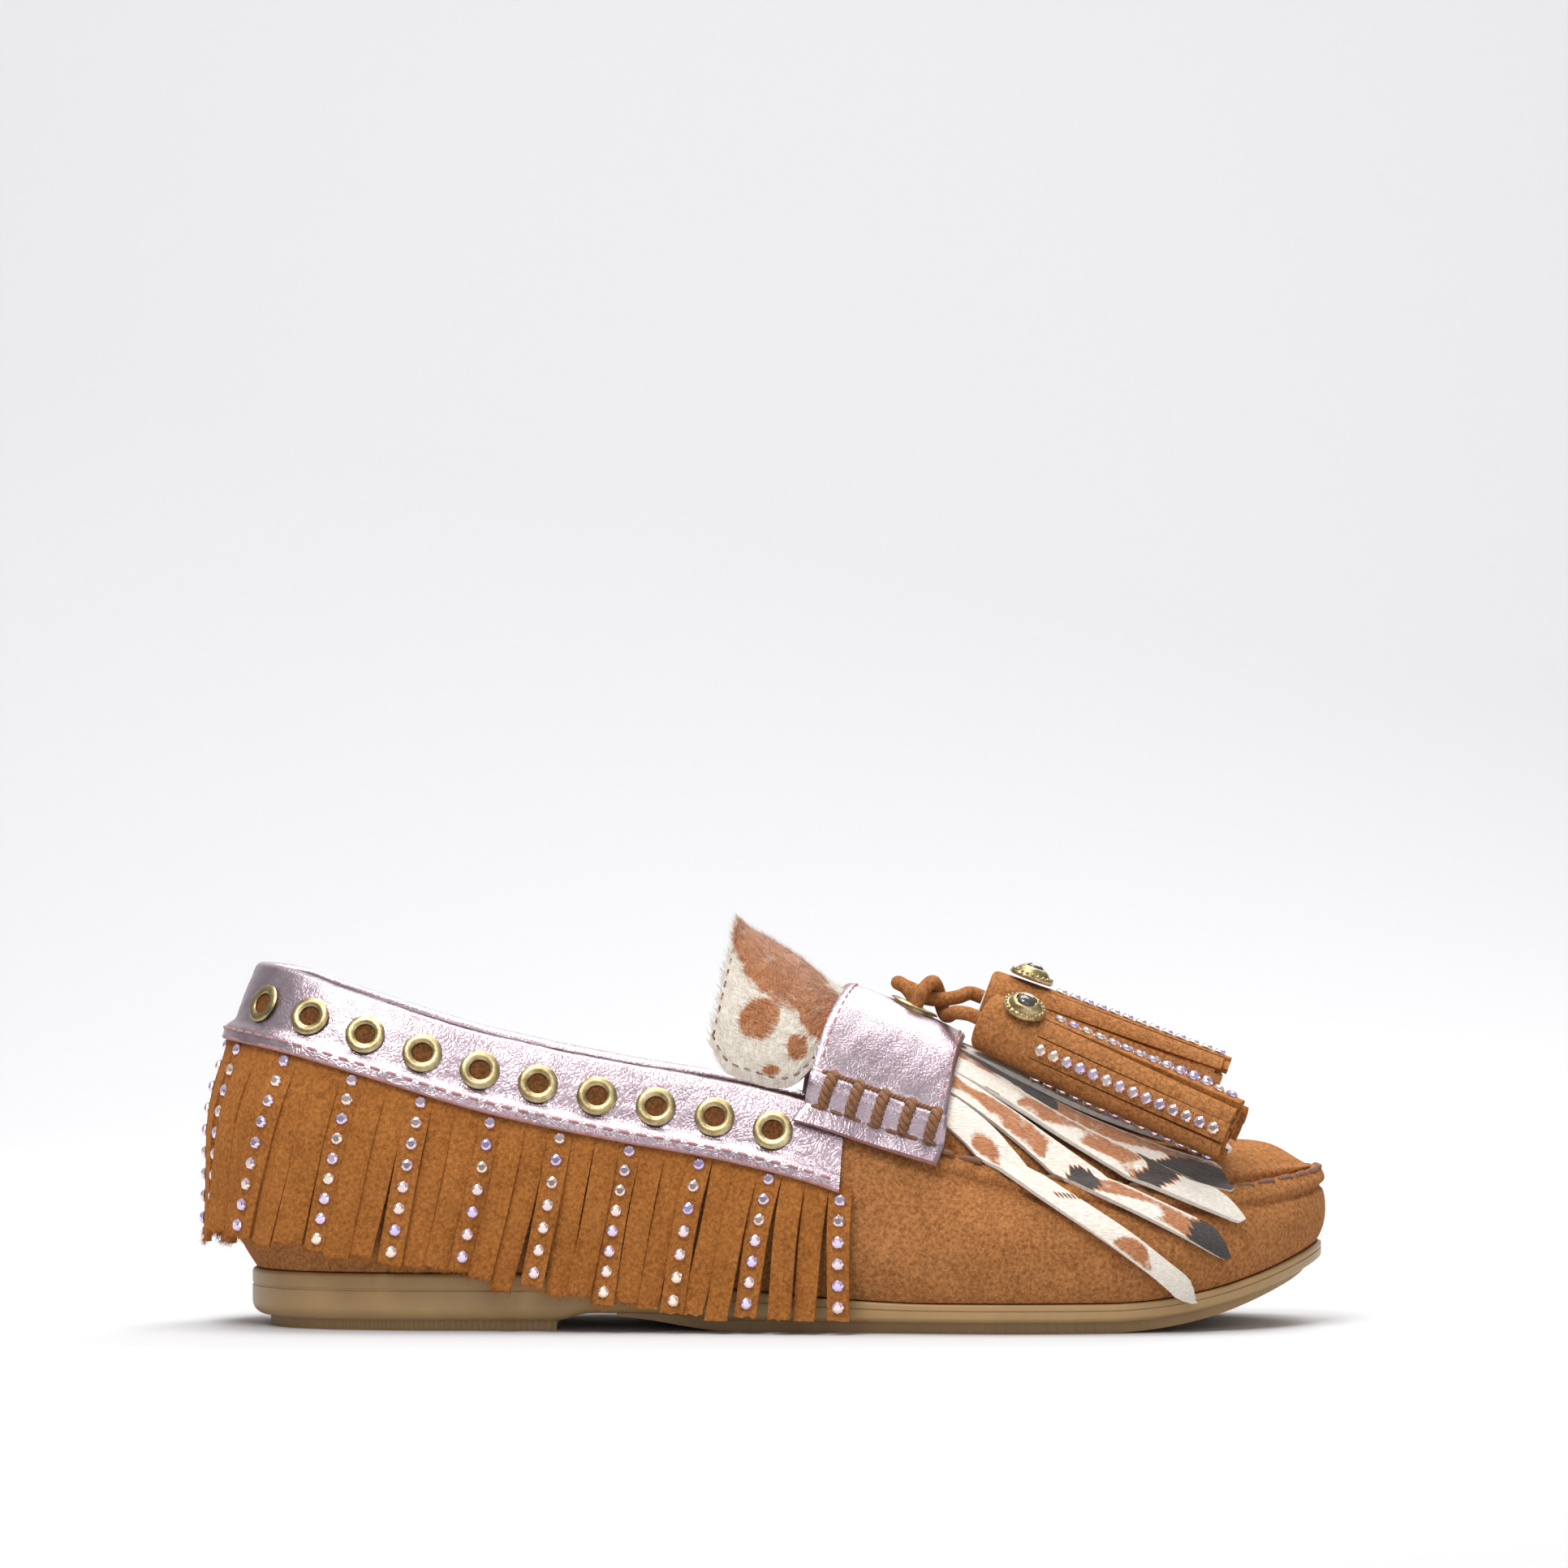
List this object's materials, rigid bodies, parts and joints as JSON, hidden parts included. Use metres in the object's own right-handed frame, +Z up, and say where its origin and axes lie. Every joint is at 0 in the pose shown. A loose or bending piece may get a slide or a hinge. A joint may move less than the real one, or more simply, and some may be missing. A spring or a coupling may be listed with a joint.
{
  "type": "kiltie loafer",
  "caption": "Right-foot moccasin loafer with a fringed heel and sides, eyeleted collar band, saddle strap, cow-print tongue and kiltie, and two tassels on a knotted thong.",
  "frame": {"origin": "on the floor, under the middle of the flat heel tread", "axes": "+X from the heel to the toe, +Z up, the shoe's outer side towards -Y"},
  "size_m": [0.2666, 0.095, 0.0962],
  "materials": {
    "rubber": "satin moulded rubber",
    "suede": "napped suede",
    "fringe_suede": "napped suede, cut strips",
    "metallic_leather": "crinkled metallic foil",
    "cow_hair": "short hair-on hide",
    "lining": "smooth lining leather",
    "brass": "antique brass",
    "stone": "cut smoky stone"
  },
  "bodies": {
    "root": {"outsole": "rubber", "insole": "lining", "upper": "suede", "tongue": "cow_hair", "collar_band": "metallic_leather", "fringe": "fringe_suede", "kiltie": "cow_hair", "strap": "metallic_leather", "strap_eyelet": "brass", "eyelet_outer_01": "brass", "eyelet_outer_02": "brass", "eyelet_outer_03": "brass", "eyelet_outer_04": "brass", "eyelet_outer_05": "brass", "eyelet_outer_06": "brass", "eyelet_outer_07": "brass", "eyelet_outer_08": "brass", "eyelet_outer_09": "brass", "eyelet_outer_10": "brass", "tassel_outer": "suede", "boss_outer": "brass", "stone_outer": "stone", "thong_outer": "suede", "eyelet_inner_01": "brass", "eyelet_inner_02": "brass", "eyelet_inner_03": "brass", "eyelet_inner_04": "brass", "eyelet_inner_05": "brass", "eyelet_inner_06": "brass", "eyelet_inner_07": "brass", "eyelet_inner_08": "brass", "eyelet_inner_09": "brass", "eyelet_inner_10": "brass", "tassel_inner": "suede", "boss_inner": "brass", "stone_inner": "stone", "thong_inner": "suede"}
  },
  "joints": []
}
